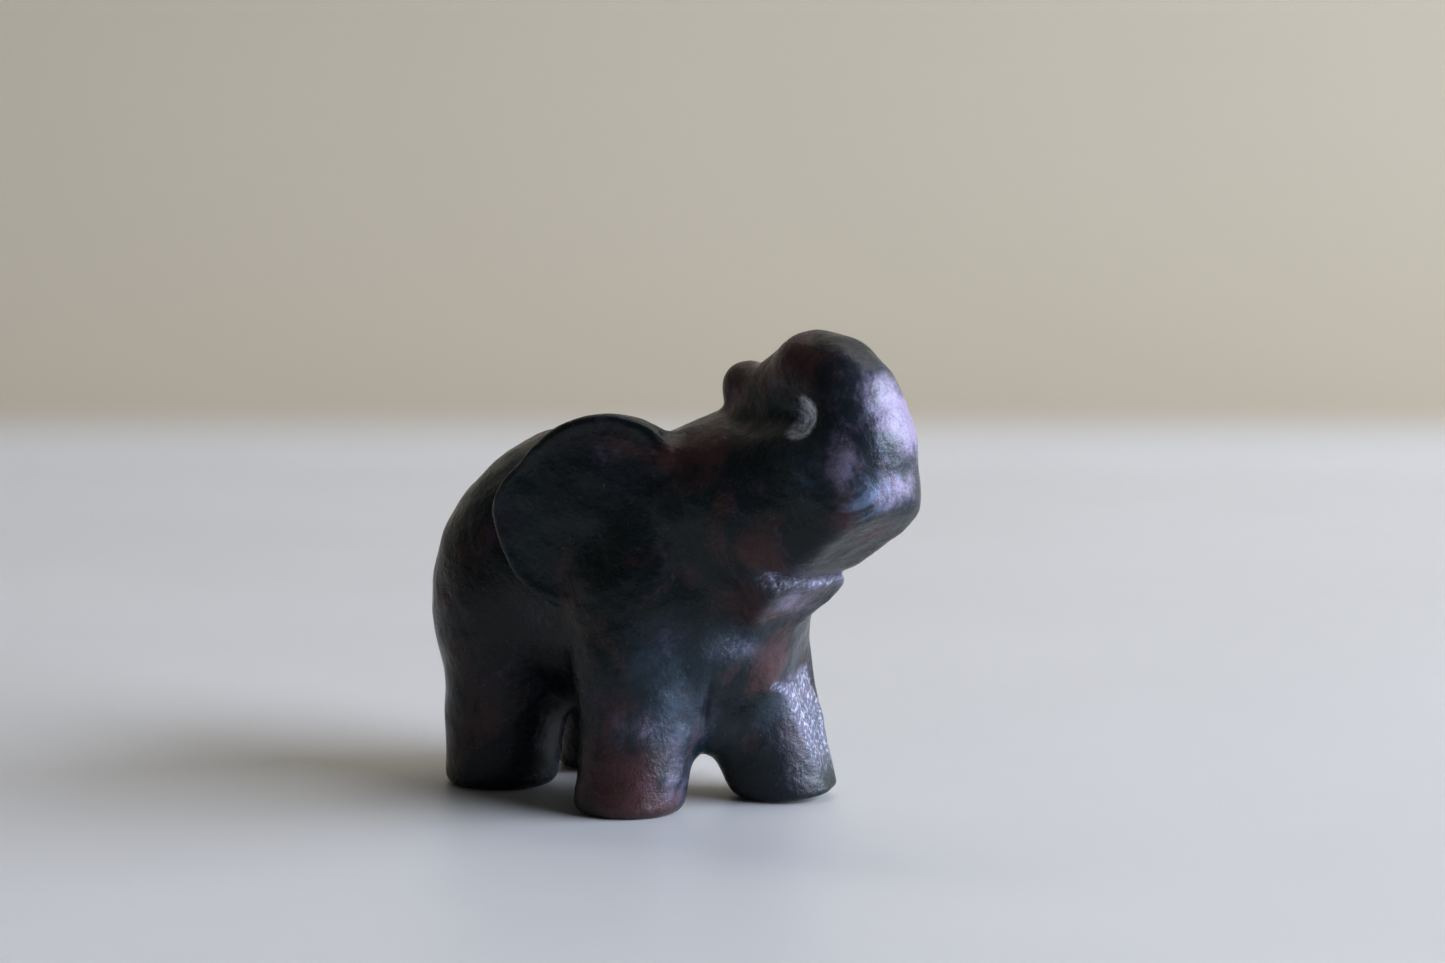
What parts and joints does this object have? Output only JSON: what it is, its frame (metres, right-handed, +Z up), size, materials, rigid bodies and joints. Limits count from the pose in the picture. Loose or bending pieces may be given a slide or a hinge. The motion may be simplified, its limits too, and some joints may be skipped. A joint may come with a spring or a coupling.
{
  "type": "carved stone elephant figurine",
  "caption": "Standing elephant figurine carved from one block of stone, trunk raised and curled back on to the forehead, ears laid back, on four flat soles.",
  "frame": {"origin": "on the table top, under the middle of the figure's overall length and width", "axes": "+X towards the trunk, +Z up, +Y towards the figure's left side"},
  "size_m": [0.0524, 0.0272, 0.042],
  "materials": {
    "stone": "polished, mottled dark green and reddish brown"
  },
  "bodies": {
    "root": {"elephant": "stone"}
  },
  "joints": []
}
